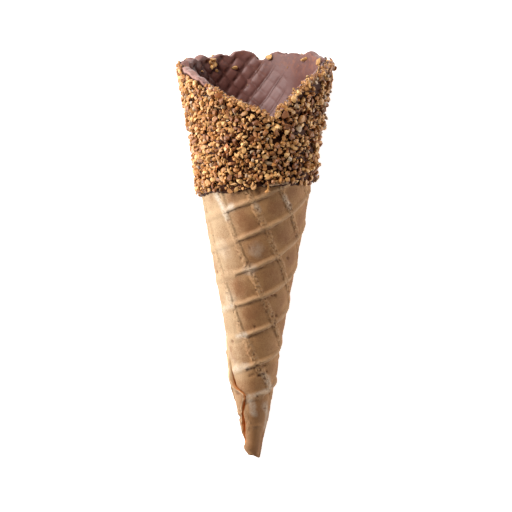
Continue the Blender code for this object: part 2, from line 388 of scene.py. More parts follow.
def azimuth_of(wound):
    """Angle from the front of the cone, going right, from -pi to pi."""
    return (wound + NOTCH_AZIMUTH + pi) % TURN - pi


def from_spot(wound, height, azimuth, level):
    """Distances round and up the cone from a spot on it, given in degrees and mm."""
    radius = np.maximum((height - MANDREL_POINT) * tan(HALF_ANGLE), 0) + 2 * MM
    round_it = (azimuth_of(wound) - radians(azimuth) + pi) % TURN - pi
    return round_it * radius, height - level * MM


def dents(wound, height):
    """How deep the dents are, and 1 in their middles."""
    deep, dark = 0 * wound, 0 * wound
    for azimuth, level, half_length, half_height, depth in DENTS:
        across, up = from_spot(wound, height, azimuth, level)
        away = np.hypot(across / half_length, up / half_height) / MM
        inside = 1 - smooth(0.5, 1.25, away + 0.25 * lumps(np.stack([across, up], axis=-1), 0.8 * MM, 33))
        deep = deep + depth * MM * inside
        dark = np.maximum(dark, inside * smooth(0.2, 0.4, depth))
    return deep, dark


def flour(wound, height):
    """How thick the flour lies."""
    thickness = 0 * wound
    for azimuth, level, other_azimuth, other_level, half_width, thick in FLOUR:
        across, up = from_spot(wound, height, azimuth, level)
        middle_radius = ((level + other_level) / 2 * MM - MANDREL_POINT) * tan(HALF_ANGLE) + 2 * MM
        run, rise = radians(other_azimuth - azimuth) * middle_radius, (other_level - level) * MM
        along = np.clip((across * run + up * rise) / (run**2 + rise**2), 0, 1)
        away = np.hypot(across - along * run, up - along * rise) / (half_width * MM)
        away = away + 0.45 * lumps(np.stack([across, up], axis=-1), 1.6 * MM, 34)
        thickness = np.maximum(thickness, thick * (1 - smooth(0.0, 2.1, away)))
    return thickness


def wafer_relief(wound, height):
    """How far the outside stands out, and the masks that its finish needs."""
    place = on_sheet(wound, height)
    drift = np.stack([lumps(place, 6 * MM, 1), lumps(place, 6 * MM, 2)], axis=-1) * 0.35 * MM
    drift += np.stack([lumps(place, 1.7 * MM, 8), lumps(place, 1.7 * MM, 9)], axis=-1) * 0.14 * MM
    number = line_number(place + drift, RIB_STEEP, RIB_PITCH, GRID_CROSSING)
    cross_number = line_number(place + drift, CROSS_STEEP, CROSS_PITCH, GRID_CROSSING)
    off_rib, off_cross = off_line(number, RIB_PITCH), off_line(cross_number, CROSS_PITCH)
    uneven = 0.5 + 0.5 * lumps(place, 7 * MM, 3)
    past_start = cross_number - np.interp(np.round(number), *RIB_STARTS)
    filled = smooth(-0.03, 0.08, past_start) * (1 - smooth(1.7, 2.2, past_start))
    strength = between(1, 0.45, filled) * between(0.78, 1.0, uneven)
    near_rough = 1 - smooth(0, 2.2 * MM, np.abs(off_cross))
    strength = strength * (1 - 0.22 * near_rough * (1 - filled))
    above = 1 - smooth(0.1, 1, off_rib / (RIB_ABOVE * between(1, 1.5, filled)))
    below = dome(np.minimum(off_rib, 0), RIB_BELOW * between(1, 2.0, filled))
    rib = np.where(off_rib > 0, above, below) * strength
    rough = 0.5 + 0.5 * lumps(place, 0.95 * MM, 4)
    cross = dome(off_cross, ROUGH_HALF_WIDTH * between(0.8, 1.2, uneven)) * between(0.15, 1.0, rough)
    crack = np.exp(-(((off_cross - 0.95 * MM) / (0.28 * MM)) ** 2)) * smooth(0.2, 0.9, lumps(place, 1.4 * MM, 12))
    near_cross = 1 - smooth(0.5 * MM, 1.7 * MM, np.abs(off_cross))
    pit = spots(place, 1.25 * MM, 10, 0.75) * near_cross * between(1.0, 0.4, filled)
    pit = np.maximum(pit, spots(place, 2.8 * MM, 20, 0.04))
    deep, dark = dents(wound, height)
    worn = smooth(8 * MM, 20 * MM, height)
    to_rib, to_cross = (np.sin(pi * np.abs(off) / pitch) for off, pitch in ((off_rib, RIB_PITCH), (off_cross, CROSS_PITCH)))
    bulge = CELL_BULGE * to_rib * to_cross + 0.12 * MM * lumps(place, 9 * MM, 5) + 0.06 * MM * lumps(place, 1.3 * MM, 6)
    ribs = np.maximum(RIB_HEIGHT * rib, ROUGH_HEIGHT * cross) - 0.2 * MM * crack
    raised = ribs * worn + bulge - 0.42 * MM * pit - deep
    # near_rib marks the band under each whole rib where the finish paints a thin dark line of painted shadow.
    near_rib = strength * (1 - smooth(1.6 * MM, 2.6 * MM, np.abs(off_rib))) * (1 - 0.8 * filled)
    masks = {"rib": rib, "near_rib": near_rib, "rough": near_cross, "crack": crack}
    masks = {name: mask * worn for name, mask in masks.items()}
    return raised, {**masks, "pit": np.maximum(pit, dark), "off_rib": off_rib / MM, "cell": to_rib * to_cross, "dust": flour(wound, height)}


turns = np.linspace(0, TURN, 200)
heights = np.linspace(20, 100, 200)[:, None] * MM
raised, masks = wafer_relief(TURN + 0 * heights + turns, heights + 0 * turns)
print("the outside runs from", (raised.min() / MM).round(2), "to", (raised.max() / MM).round(2), "mm;",
      "whole ribs cover", f"{(masks['rib'] > 0.5).mean():.0%}")

# %% [markdown]
# ## The wafer
#
# One skin makes the whole wafer: up the outside, over the rim, and down the hollow. On the outside each ring runs
# round from the free edge to itself. A few points more, at the end of the ring, turn the edge's thickness, go back
# in under the sprung flap and come out again on the layer below, so the slit is a real one with a dark inside.
# That inside is painted a lit orange-brown with a faint glow: painted light, for light shining through the thin
# wafer. The outside is fine only up to where the dip hides it.

# %% Make the wafer
WAFER_COLUMNS = 360
DIPPED_SHARE = 0.80  # above this share of its height the wafer lies under the dip all round
HIDDEN_RIM = 2.6 * MM  # inside the rim's chocolate, the wafer ends this far down, clear of the nicks
SLIT_DEPTH = 2.6 * MM
CRACK = 1.1 * MM  # how wide the slit gapes near the tip, where the flap has torn down to the layer under it
CORE_FILL = 0.75 * MM  # how far the core beside the crack has swollen, almost level with the flap
CORE_FILL_REST = 0.45 * MM
TIP_SWELL = 1.15 * MM  # how much thicker the broken end is on its left
TIP_RINGS = (0.8, 0.5, 0.2)  # inner rings of the tip's broken end, as shares of its radius

fine_shares = np.linspace(0, DIPPED_SHARE, 252)
hidden_shares = np.linspace(DIPPED_SHARE, 1, 8)[1:]
share, wound, height = wafer_places(WAFER_COLUMNS, np.concatenate([fine_shares, hidden_shares]), HIDDEN_RIM)
raised, masks = wafer_relief(wound, height)
dip_fade = 1 - smooth(0.76, DIPPED_SHARE, np.concatenate([fine_shares, hidden_shares]))[:, None]
near_tip = 1 - smooth(15 * MM, 27 * MM, height)
swollen = between(CORE_FILL, CORE_FILL_REST, smooth(0.05, 0.3, share)) * (1 - smooth(0.5, 0.8, share)) * near_tip
gaping = CRACK * smooth(FLAP_FOOT - 2.5 * MM, FLAP_FOOT, height) * near_tip * (1 - smooth(0, 0.12, share))
gaping = gaping * between(0.7, 1.2, 0.5 + 0.5 * lumps(np.stack([height, 0 * height], axis=-1), 2.2 * MM, 32))
at_left = 0.5 - 0.5 * np.sin(azimuth_of(wound))
swollen = swollen + TIP_SWELL * at_left**2 * (1 - smooth(4.2 * MM, 7.0 * MM, height)) * smooth(0.8 * MM, 3.4 * MM, height)
depth = wafer_depth(share, wound, height) + raised * dip_fade + swollen
outside = at(wound + gaping / ((height - MANDREL_POINT) * tan(HALF_ANGLE) + 3 * MM), height, depth)


def slit_points():
    """The end of each ring: the flap's torn edge, its underside, the root of the slit and the layer below."""
    level = height[:, 0]
    edge = free_edge(level)
    base = wall(edge, level, 0)
    sheet = pinched_sheet(level)
    open_by = spring(level)
    radius = np.maximum((level - MANDREL_POINT) * tan(HALF_ANGLE) + base, 1.5 * MM)
    top = depth[:, -1]
    underside = np.minimum(base + open_by, top - 0.3 * sheet)
    made = []
    for down in (0.25, 0.6, 0.9):
        torn = 0.35 * MM * lumps(np.stack([level, 0 * level + down * 9 * MM], axis=-1), 1.1 * MM, 31)
        bulging = 0.25 * MM * sin(pi * down)
        made.append((edge + (bulging + torn) / radius, between(top, underside, down)))
    made.append((edge - 0.1 * MM / radius, underside))
    made.append((edge - 0.55 * SLIT_DEPTH / radius, underside - 0.05 * MM))
    made.append((edge - SLIT_DEPTH / radius, base + 0.3 * open_by))
    made.append((edge - 0.55 * SLIT_DEPTH / radius, base - 0.05 * MM))
    made.append((edge + 0.5 * gaping[:, 0] / radius, base - 0.15 * MM * near_tip[:, 0]))
    return np.stack([at(angle, level, deep) for angle, deep in made], axis=1)


slit = slit_points()
rings = np.concatenate([outside, slit], axis=1)
slit_count = slit.shape[1]
end_middle = np.array((0, 0, 1.2 * MM))
end_rings = []
for shrink in TIP_RINGS[::-1]:
    ring = end_middle + (rings[0] - end_middle) * (shrink, shrink, between(0.3, 1.0, shrink))
    ring[:, 2] += 0.35 * MM * lumps(ring[:, :2], 1.2 * MM, 7)
    end_rings.append(ring)

hollow_turns = np.concatenate([TURN * share, np.full(slit_count, TURN)])
hollow_rim = rim_height(hollow_turns) - HIDDEN_RIM
hollow = [at(hollow_turns, between(HOLLOW_FOOT, hollow_rim, s), 0 * MM) for s in (1, 0.8, 0.5, 0.2, 0)]
wafer = skin("wafer_rolled", np.concatenate([end_rings, rings, hollow]), end_middle, (0, 0, HOLLOW_FOOT - MM))

end_count = len(end_rings)
columns = rings.shape[1]
# Near the tip, the slit's inside and the walls beside it are painted a lit orange-brown with a faint glow: painted
# light for light shining through the thin wafer.
slit_glow_mask = np.zeros(rings.shape[:2])
slit_glow_mask[:, WAFER_COLUMNS + 4:] = 1
by_break = 1 - smooth(26 * MM, 33 * MM, height[:, :1])
slit_glow_mask[:, WAFER_COLUMNS + 1:WAFER_COLUMNS + 4] = 0.85 * by_break
slit_glow_mask[:, :3] = by_break * smooth(FLAP_FOOT - 1.5 * MM, FLAP_FOOT, height[:, :1]) * np.array((1, 0.75, 0.2))
torn_mask = np.zeros(rings.shape[:2])
torn_mask[:, WAFER_COLUMNS:WAFER_COLUMNS + 4] = 1


def padded_mask(mask):
    """A mask of the outside, for all points of the wafer's skin."""
    wide = np.pad(mask, ((0, 0), (0, columns - mask.shape[1])))
    return np.concatenate([np.zeros((end_count, columns)), wide])


front = azimuth_of(wound)
# Paler on the left: partly baked paler there, partly painted light where the low lamp on the left rakes the side.
pale_side = smooth(radians(0), radians(52), -front) * smooth(radians(20), radians(60), pi + front)
paint(wafer, **{name: padded_mask(mask * dip_fade) for name, mask in masks.items()},
      slit=padded_mask(slit_glow_mask), torn=padded_mask(torn_mask), pale_side=padded_mask(pale_side),
      low=padded_mask(1 - smooth(4 * MM, 42 * MM, height)))
print("wafer:", len(wafer.data.polygons), "faces")

# %% [markdown]
# ## The chocolate
#
# The chocolate is one skin too: up the lining, over the rim, down the dip and back up against the wafer. The other
# iron leaves a finer grid inside, grooves between soft pillows, and the thin lining follows it where it hasn't
# filled it in. The rim is thick and lumpy, with two nicks at the back. Sculpting that by hand would tie it to one
# mesh, so here each ring is a function of the angle, and the lumps are noise with the size of real ones.

# %% Sizes of the chocolate
GAP = 0.3 * MM
LINING = 0.8 * MM
RIM_COAT = 0.7 * MM
DIP_COAT = 0.5 * MM
DIP_HEIGHT = 103.4 * MM
PLUG_FOOT = HOLLOW_FOOT + 1.5 * MM
PLUG_TOP = PLUG_FOOT + 4 * MM
CHOCOLATE_COLUMNS = 360
RIM_RADIUS = 27.5 * MM
PILLOW_STEEP = radians(53.0)
PILLOW_PITCH = 4.75 * MM
PILLOW_CROSSING = np.array((2.1, 132.5)) * MM
PILLOW_DEPTH = 1.1 * MM
SHARP_GROOVE = 0.55 * MM
RIM_STEPS = (  # angle from the back, going right; how far down; how wide to its left and to its right
    (radians(-21), 0.9 * MM, 1.6 * MM, 1.9 * MM),
    (radians(-16), -0.9 * MM, 9.0 * MM, 9.0 * MM),
    (radians(2), 1.8 * MM, 1.4 * MM, 5.0 * MM),
    (radians(-8), -1.2 * MM, 4.0 * MM, 3.6 * MM),
    (radians(32), -1.7 * MM, 15.0 * MM, 22.0 * MM),
    (radians(56), -1.7 * MM, 9.0 * MM, 9.0 * MM),
    (radians(-52), -0.4 * MM, 3.0 * MM, 5.0 * MM),
    (radians(-92), 1.6 * MM, 6.0 * MM, 6.0 * MM),
    (radians(166), 1.5 * MM, 3.5 * MM, 3.5 * MM),
)


def dip_line(turn):
    azimuth = turn + NOTCH_AZIMUTH
    wave = 0.4 * np.sin(5 * azimuth) + 0.3 * np.sin(9 * azimuth + 2)
    return DIP_HEIGHT + (2.6 * np.sin(azimuth) + 1.0 * np.cos(azimuth) + wave) * MM


def from_back(turn):
    """Angle from the back of the cone, going right, from -pi to pi."""
    return (pi - NOTCH_AZIMUTH - turn + pi) % TURN - pi


def round_lumps(turn, height, size, seed):
    """Noise over the outside of the cone, which has no seam at the notch."""
    place = np.stack(np.broadcast_arrays(np.cos(turn) * 24 * MM, np.sin(turn) * 24 * MM, height), axis=-1)
    return lumps(place, size, seed)


def coated_rim(turn):
    """Height of the rim under its coat, with nicks and lumps."""
    rim = rim_height(turn) + 0.3 * MM * round_lumps(turn, 0, 3.6 * MM, 41) + 0.25 * MM * round_lumps(turn, 0, 1.5 * MM, 42)
    for angle, down, left, right in RIM_STEPS:
        across = ((from_back(turn) - angle + pi) % TURN - pi) * RIM_RADIUS
        rim = rim - down * (1 - smooth(0.25, 1, np.where(across < 0, -across / left, across / right)))
    return rim


def pillows(turn, height):
    """How deep the grooves of the inner grid lie."""
    slant = (height - MANDREL_POINT) / cos(HALF_ANGLE)
    bearing = from_back(turn) * sin(HALF_ANGLE)
    place = np.stack([slant * np.sin(bearing), slant * np.cos(bearing)], axis=-1)
    drift = np.stack([lumps(place, 5 * MM, 51), lumps(place, 5 * MM, 52)], axis=-1) * 0.3 * MM
    off = []
    for steep in (PILLOW_STEEP, PILLOW_STEEP + pi / 2):
        line = line_number(place + drift, steep, PILLOW_PITCH, PILLOW_CROSSING)
        off.append(off_line(line, PILLOW_PITCH))
    crown = [2 * np.abs(distance) / PILLOW_PITCH for distance in off]
    to_right = smooth(radians(-8), radians(16), from_back(turn))
    long_groove = (1 - crown[0]) ** between(3.2, 4.5, to_right)
    cross_groove = (1 - crown[1]) ** between(3.8, 4.5, to_right) * between(0.9, 0.45, to_right)
    both = 1 - (1 - long_groove) * (1 - cross_groove)
    smooth_right = 1 - smooth(radians(24), radians(33), from_back(turn) + radians(4) * lumps(place, 3 * MM, 55))
    filled = between(1.5 * MM, 8 * MM, to_right)
    filled_rim = smooth(0, 1, (rim_height(turn) - height + 2 * MM * lumps(place, 6 * MM, 53)) / filled)
    uneven = between(0.7, 1.0, 0.5 + 0.5 * lumps(place, 8 * MM, 54))
    open_grid = smooth_right * filled_rim * uneven
    # near and groove bound the painted shade that the finish lays along and in the grooves.
    near = open_grid * (1 - smooth(1.0 * MM, 1.6 * MM, np.abs(off[0])))
    depth = between(PILLOW_DEPTH, SHARP_GROOVE, to_right) * open_grid * both
    return depth, {"off_groove": off[0] / MM, "sharp": near * between(0.4, 1.0, to_right), "groove": open_grid * both}


sampled, _ = pillows(np.full(300, 3.2), np.linspace(100, 150, 300) * MM)
print("the grooves are at most", (sampled.max() / MM).round(2), "mm deep")

# %% Make the chocolate
chocolate_turns = np.arange(CHOCOLATE_COLUMNS) * TURN / CHOCOLATE_COLUMNS
rim = coated_rim(chocolate_turns)
plain_rim = rim_height(chocolate_turns)
dip_foot = dip_line(chocolate_turns)
foot_sag = 0.5 * MM * round_lumps(chocolate_turns, 0, 3.2 * MM, 61) + 0.25 * MM * round_lumps(chocolate_turns, 0, 1.2 * MM, 62)

chocolate_rings = []
groove_masks = []
for share in np.concatenate([np.linspace(0.01, 0.4, 6), np.linspace(0.42, 1.0, 160)]):
    level = between(PLUG_TOP, rim, share)
    ripple = 0.12 * MM * round_lumps(chocolate_turns, level, 5 * MM, 63)
    deep, masks = pillows(chocolate_turns, level)
    groove_masks.append(masks)
    chocolate_rings.append(at(chocolate_turns, level, deep + ripple - GAP - LINING))


def rim_bead(turn, angle):
    """Height and depth on the rim's bead, at an angle from its inner side over the top to its outer side."""
    outside = covered_depth(turn, rim_height(turn)) + GAP + DIP_COAT
    inside = -GAP - LINING
    coat = RIM_COAT + 0.3 * MM * round_lumps(turn, 2 * angle * MM, 1.8 * MM, 64)
    height = coated_rim(turn) + coat * np.sin(angle) ** 0.7
    return height, (outside + inside) / 2 - (outside - inside) / 2 * np.cos(angle)


first_rim_ring = len(chocolate_rings)
for angle in np.linspace(0, pi, 19)[1:-1]:
    chocolate_rings.append(at(chocolate_turns, *rim_bead(chocolate_turns, angle + 0 * rim)))

first_dip_ring = len(chocolate_rings)
for share in np.linspace(1.0, 0.0, 80):
    level = between(dip_foot - foot_sag, rim, share)
    under_nuts = 0.22 * MM * round_lumps(chocolate_turns, level, 1.5 * MM, 65)
    coat = GAP + DIP_COAT * smooth(-0.02, 0.015, share) + under_nuts
    chocolate_rings.append(at(chocolate_turns, level, covered_depth(chocolate_turns, level) + coat))
for down, coat in ((0.25, 0.25), (0.35, 0.0), (0.3, -0.3), (-0.5, -0.5)):
    level = dip_foot - foot_sag - down * MM
    chocolate_rings.append(at(chocolate_turns, level, covered_depth(chocolate_turns, level) + coat * MM))
hidden_top = plain_rim - HIDDEN_RIM
for share in (0.3, 0.7, 1.0):
    level = between(dip_foot, hidden_top, share)
    chocolate_rings.append(at(chocolate_turns, level, covered_depth(chocolate_turns, level)))
for share in (1.0, 0.6, 0.3, 0.0):
    chocolate_rings.append(at(chocolate_turns, between(PLUG_FOOT, hidden_top, share), -GAP))

chocolate_skin = np.array(chocolate_rings)
chocolate = skin("chocolate_skin", chocolate_skin, (0, 0, PLUG_TOP), (0, 0, PLUG_FOOT))
ring_number = np.arange(len(chocolate_skin))[:, None] + 0 * chocolate_turns
under_nuts_mask = smooth(first_dip_ring - 2, first_dip_ring + 5, ring_number)
near_rim = smooth(first_rim_ring - 26, first_rim_ring, ring_number) * (1 - under_nuts_mask)
thin_side = smooth(radians(15), radians(45), from_back(chocolate_turns))
thin_side = between(0.5, 1.0, thin_side * (1 - smooth(radians(88), radians(100), from_back(chocolate_turns))))
# The front and sides of the rim's bead are painted lighter and pinker: a painted highlight.
on_bead = smooth(first_rim_ring + 2, first_rim_ring + 7, ring_number) * (1 - under_nuts_mask)
front_side = 1 - 0.8 * smooth(radians(100), radians(80), np.abs(from_back(chocolate_turns)))
grooves = {name: np.stack([masks[name] for masks in groove_masks]) for name in groove_masks[0]}
# A lighter greyish panel right of the back of the lining: partly bloom, partly painted sheen where the lining faces the
# light.
bloom = smooth(radians(4), radians(14), from_back(chocolate_turns))
bloom = bloom * (1 - smooth(radians(28), radians(40), from_back(chocolate_turns)))
bloom = bloom * (1 - smooth(first_rim_ring - 30, first_rim_ring, ring_number))
paint(chocolate, thin=near_rim * thin_side, lip=on_bead * front_side, bloom=bloom, **grooves)
print("chocolate:", len(chocolate.data.polygons), "faces")

# %% [markdown]
# ## Chopped nuts
#
# A nut that is chopped breaks into chunks with a few flat faces and worn corners. A sphere whose points are pushed
# back behind a few random planes gives just that, and keeps the same faces for every chunk. So all chunks of a
# kind can be turned, sized and placed in one sum over arrays, and joined in one mesh.


# %% Chunks
def ball(subdivisions):
    """Points and triangles of a small ball."""
    mesh = bmesh.new()
    bmesh.ops.create_icosphere(mesh, subdivisions=subdivisions, radius=1.0)
    points = np.array([vertex.co for vertex in mesh.verts])
    faces = np.array([[vertex.index for vertex in face.verts] for face in mesh.faces])
    mesh.free()
    return points, faces


def chunks(count, fineness, random, build, bend=0.0):
    """That many different chunks of a ball's faces: points as (chunk, point, axis). build is their proportions."""
    points, faces = ball(fineness)
    made = np.repeat(points[None], count, axis=0)
    for _ in range(8):
        facing = random.normal(size=(count, 1, 3))
        facing /= np.linalg.norm(facing, axis=-1, keepdims=True)
        reach = random.uniform(0.34, 0.8, size=(count, 1, 1))
        past = np.maximum((made * facing).sum(axis=-1, keepdims=True) - reach, 0)
        made = made - past * facing
    made = 1.2 * made + 0.04 * random.normal(size=made.shape)
    made = made * np.array(build) * random.uniform(0.75, 1.3, size=(count, 1, 3))
    made[..., 2] -= bend * random.uniform(0.3, 1.0, size=(count, 1)) * made[..., 0] ** 2
    return made - made.mean(axis=1, keepdims=True), faces


trial, trial_faces = chunks(3, 2, np.random.default_rng(1), (1, 1, 1))
print("a chunk has", len(trial_faces), "faces and is about", np.ptp(trial, axis=1).mean().round(2), "radii across")

# %% [markdown]
# ## Where the nuts lie
#
# The cone was rolled in the nuts while the dip was soft, so they lie against each other with dark gaps between,
# the largest first and crumbs in what is left. Throwing darts does the same: a place is drawn at random and kept
# only if it is clear of the ones kept before it. A coarse grid of cells keeps the search short. A second, sparser
# layer clings to the first, mostly on the side that was pressed into the nuts last.

# %% Throw the darts
SIEVES = (  # tries, and the smallest and largest radius of the nuts that one sieve holds back
    (220, 1.2 * MM, 1.55 * MM), (3200, 0.85 * MM, 1.2 * MM), (12000, 0.55 * MM, 0.82 * MM),
)
CRUMB_RADIUS = (0.24 * MM, 0.5 * MM)
UPPER_RADIUS = (0.55 * MM, 1.3 * MM)
CLOSENESS = 0.9  # share of the two radii that two neighbours keep apart
BARE_BAND = (radians(264), radians(309))  # here the rim's chocolate shows
BARE_DEPTH = 1.7 * MM
BALD = 0.23  # no nuts where the noise is lower, mostly on the right


def bare_band(turn):
    """1 where the rim's chocolate shows, and 0 elsewhere."""
    return smooth(0, radians(6), turn - BARE_BAND[0]) * smooth(0, radians(6), BARE_BAND[1] - turn)


def throw(tries, sizes, random, kept, closeness=CLOSENESS, crowd=0.0):
    """Places on the dip with their radii, none too near another of kept, which grows. crowd thins out by noise."""
    cell = 2.7 * MM
    radii = random.triangular(sizes[0], between(*sizes, 0.3), sizes[1], tries)
    turn = random.uniform(0, TURN, tries)
    top = coated_rim(turn) + 0.2 * MM - BARE_DEPTH * bare_band(turn)
    height = between(dip_line(turn) + 0.4 * MM, top, random.uniform(0, 1, tries))
    area = random.uniform(0, 1, tries) * 155 * MM < height
    clump = 0.5 + 0.5 * round_lumps(turn, height, 5 * MM, 71)
    to_left = 0.5 - 0.5 * np.sin(turn + NOTCH_AZIMUTH)
    wanted = random.uniform(0, 1, tries) > crowd * (1 - clump * between(0.5, 1.3, to_left))
    wanted &= (0.5 + 0.5 * round_lumps(turn, height, 3.4 * MM, 72)) * between(0.66, 1.7, to_left) > BALD
    places = at(turn, height, covered_depth(turn, height) + GAP + DIP_COAT)
    found = []
    for number in np.flatnonzero(area & wanted):
        place, radius = places[number], radii[number]
        home = tuple((place // cell).astype(int))
        around = [(home[0] + i, home[1] + j, home[2] + k) for i in (-1, 0, 1) for j in (-1, 0, 1) for k in (-1, 0, 1)]
        neighbours = [other for key in around for other in kept.get(key, ())]
        near = closeness * between(1.0, 0.88, to_left[number])
        if all(((place - p) ** 2).sum() > (near * (radius + r)) ** 2 for p, r in neighbours):
            kept.setdefault(home, []).append((place, radius))
            found.append(number)
    return turn[found], height[found], radii[found]


random = np.random.default_rng(11)
first_layer = {}
sieved = [throw(tries, (low, high), random, first_layer) for tries, low, high in SIEVES]
nuts = np.concatenate(sieved, axis=1)
crumbs = throw(7000, CRUMB_RADIUS, random, first_layer, 0.75)
upper = throw(3600, UPPER_RADIUS, random, {}, 0.8, 0.95)
print(len(nuts[0]), "nuts,", len(crumbs[0]), "crumbs and", len(upper[0]), "in the second layer")

# %% [markdown]
# ## Nuts on the rim
#
# On the two branches of the notch the nuts reach over the rim, to half way across its bead. Only on the left
# corner does a band of chocolate stay bare. A few strays fell into the mouth and stuck to the lining.

# %% Place the nuts on the rim and the strays
RIM_NUTS = 470
STRAYS = (  # angle from the back, going right; height; radius
    (-41.0, 151.6, 1.5), (-43.5, 150.6, 1.1), (-39.0, 150.2, 1.1), (-41.5, 149.3, 0.9), (-37.5, 147.6, 0.95),
    (-19.0, 148.8, 1.0), (11.4, 153.0, 1.0), (13.0, 152.2, 0.6), (47.0, 152.2, 1.25), (72.7, 151.5, 1.4),
    (76.0, 149.5, 0.9), (-56.0, 147.4, 0.7), (29.0, 149.0, 0.3), (-8.0, 142.0, 0.3), (60.0, 146.0, 0.35),
)
rim_turn = random.uniform(radians(-100), radians(82), RIM_NUTS) % TURN
rim_turn = rim_turn[bare_band(rim_turn) < random.uniform(0.1, 1.0, RIM_NUTS)]
rim_angle = random.uniform(radians(66), radians(180), len(rim_turn))
rim_nut_height, rim_nut_depth = rim_bead(rim_turn, rim_angle)
rim_radius = random.uniform(0.5 * MM, 1.15 * MM, len(rim_turn))
stray_angle, stray_height, stray_radius = np.array(STRAYS).T
stray_turn = (pi - NOTCH_AZIMUTH - np.radians(stray_angle)) % TURN
print(len(rim_turn), "nuts on the rim and", len(STRAYS), "strays")

# %% [markdown]
# ## Setting the nuts in the dip
#
# Each chunk sits a third of its size deep in the chocolate. Two numbers go with each point: `tint` is the same all
# over a chunk, so neighbours differ in colour, and `sunk` grows towards the chocolate, where the nuts are smeared.


# %% Set the nuts
def outward_axes(turn):
    """Three directions at places round the cone: round it, up it and out of it, as rows of matrices."""
    azimuth = turn + NOTCH_AZIMUTH
    ahead, aside, flat = np.sin(azimuth), np.cos(azimuth), 0 * turn
    around = np.stack([aside, ahead, flat], axis=-1)
    out = np.stack([ahead * cos(HALF_ANGLE), -aside * cos(HALF_ANGLE), flat - sin(HALF_ANGLE)], axis=-1)
    return np.stack([around, np.cross(out, around), out], axis=1)


def tilts(count, most, random):
    """Random turns about the chunk's own upright, then random tilts of at most that angle, as matrices."""
    spin, lean, toward = random.uniform(0, 1, (3, count)) * np.array((TURN, most, TURN))[:, None]
    turned = np.zeros((count, 3, 3))
    turned[:, 0, 0] = turned[:, 1, 1] = np.cos(spin)
    turned[:, 1, 0] = np.sin(spin)
    turned[:, 0, 1] = -turned[:, 1, 0]
    turned[:, 2, 2] = 1
    cross = np.zeros((count, 3, 3))
    cross[:, 0, 2] = np.cos(toward)
    cross[:, 1, 2] = np.sin(toward)
    cross[:, 2, :2] = -cross[:, :2, 2]
    lean = lean[:, None, None]
    return (np.eye(3) + np.sin(lean) * cross + (1 - np.cos(lean)) * cross @ cross) @ turned


def covering(turn, height):
    return covered_depth(turn, height) + GAP + DIP_COAT


def set_pieces(name, places, shapes, faces, most_lean, random, inward=False):
    """Copies of the shapes joined in one mesh. places are rows of turn, height, depth, lift and radius."""
    turn, height, depth, lift, radius = places
    count = len(turn)
    picked = shapes[random.integers(len(shapes), size=count)] * radius[:, None, None]
    leaned = picked @ np.swapaxes(tilts(count, most_lean, random), 1, 2) if most_lean else picked
    away = -1.0 if inward else 1.0
    placed = leaned @ outward_axes(turn) + at(turn, height, depth + away * lift)[:, None]
    numbers = faces + (np.arange(count) * shapes.shape[1])[:, None, None]
    piece = add_mesh(name, lay(placed.reshape(-1, 3)), [numbers.reshape(-1, faces.shape[1])])
    above = away * leaned[..., 2] + lift[:, None]
    paint(piece, tint=np.repeat(random.uniform(0, 1, count), shapes.shape[1]), sunk=1 - smooth(0, 0.5 * MM, above))
    piece.data.set_sharp_from_angle(angle=radians(27))
    print(name, "has", count, "pieces and", len(piece.data.polygons), "faces")
    return piece


NUT_KINDS = (  # name, share of the nuts, proportions, bend, most lean
    ("nuts_golden", 0.50, (1.05, 0.95, 0.85), 0.0, radians(60)),
    ("nuts_roasted", 0.32, (1.1, 0.9, 0.8), 0.0, radians(60)),
    ("nuts_glassy", 0.08, (1.1, 1.0, 0.75), 0.0, radians(60)),
    ("nut_slivers", 0.10, (1.4, 0.75, 0.55), 0.12, radians(40)),
)
random = np.random.default_rng(12)
lower_lift = nuts[2] * random.uniform(0.25, 0.65, len(nuts[0]))
upper_lift = upper[2] * random.uniform(0.3, 0.6, len(upper[0])) + 0.75 * MM
rim_lift = rim_radius * random.uniform(0.1, 0.5, len(rim_turn))
all_nuts = np.concatenate([
    (nuts[0], nuts[1], covering(*nuts[:2]), lower_lift, nuts[2]),
    (upper[0], upper[1], covering(*upper[:2]), upper_lift, upper[2]),
    (rim_turn, rim_nut_height, rim_nut_depth, rim_lift, rim_radius),
], axis=1)
all_nuts = all_nuts[:, random.permutation(all_nuts.shape[1])]
nut_pieces = {}
start = 0
for name, part, build, bend, most_lean in NUT_KINDS:
    end = start + round(part * all_nuts.shape[1])
    shapes, faces = chunks(30, 2, random, build, bend)
    nut_pieces[name] = set_pieces(name, all_nuts[:, start:end], shapes, faces, most_lean, random)
    start = end

shapes, faces = chunks(30, 1, random, (1.1, 0.9, 0.8))
crumb_lift = crumbs[2] * random.uniform(0.3, 1.0, len(crumbs[0]))
crumb_places = (crumbs[0], crumbs[1], covering(*crumbs[:2]), crumb_lift, crumbs[2])
nut_pieces["nut_crumbs"] = set_pieces("nut_crumbs", crumb_places, shapes, faces, radians(80), random)

shapes, faces = chunks(len(STRAYS), 2, random, (1.1, 0.9, 0.8))
stray_places = (
    stray_turn, stray_height * MM, 0 * stray_turn - GAP - LINING, 0.35 * stray_radius * MM, stray_radius * MM
)
nut_pieces["nut_strays"] = set_pieces("nut_strays", stray_places, shapes, faces, radians(60), random, True)

# %% [markdown]
# ## Skins
#
# Papery skins come off the roasted nuts. They are wide, thin and curled, so they are chunks pressed flat and bent.
# At the front a curl hangs over the foot of the dip, and two pale flakes lie beside it. These three are where the
# eye looks first, so they aren't left to chance: each is a ball that is stretched and bent by a formula.

# %% Add the skins
def at_azimuth(azimuths, heights, lifts, sizes):
    """Rows of turn, height, depth, lift and size, as set_pieces needs them."""
    turn = (np.radians(azimuths) - NOTCH_AZIMUTH) % TURN
    level = np.array(heights) * MM
    return np.stack([turn, level, covering(turn, level), np.array(lifts) * MM, np.array(sizes)])


